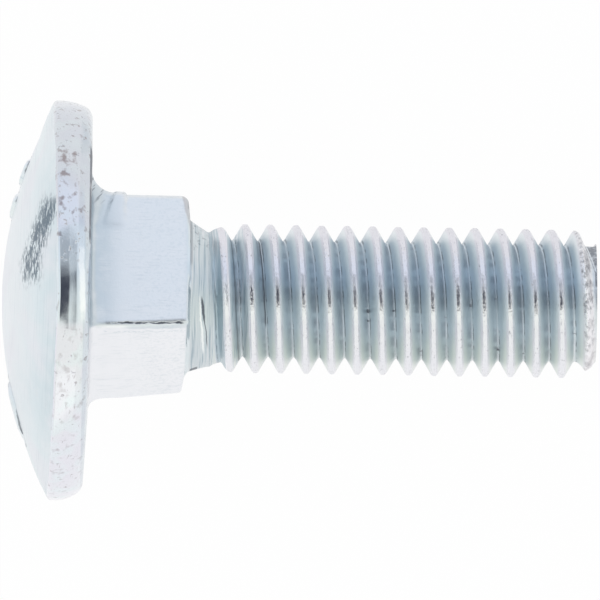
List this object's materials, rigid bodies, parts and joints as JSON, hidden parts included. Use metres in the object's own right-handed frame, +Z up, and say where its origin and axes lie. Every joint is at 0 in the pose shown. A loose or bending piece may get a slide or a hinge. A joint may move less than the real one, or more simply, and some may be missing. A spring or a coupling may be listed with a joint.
{
  "type": "carriage bolt",
  "caption": "Low domed head over a square neck and a short threaded shank, forged in one piece and zinc plated; lies as it comes to rest.",
  "frame": {"origin": "centre of the bottom of the bounding box, on the floor under the lying bolt", "axes": "+X level from the head to the tip, +Z up; the shank's axis lies in a plane of X and Z and slopes down towards the tip by 13.61 degrees; +Y to the left looking from head to tip"},
  "size_m": [0.0236, 0.0156, 0.0152],
  "materials": {
    "zinc_plate": "satin"
  },
  "bodies": {
    "root": {"bolt": "zinc_plate"}
  },
  "joints": []
}
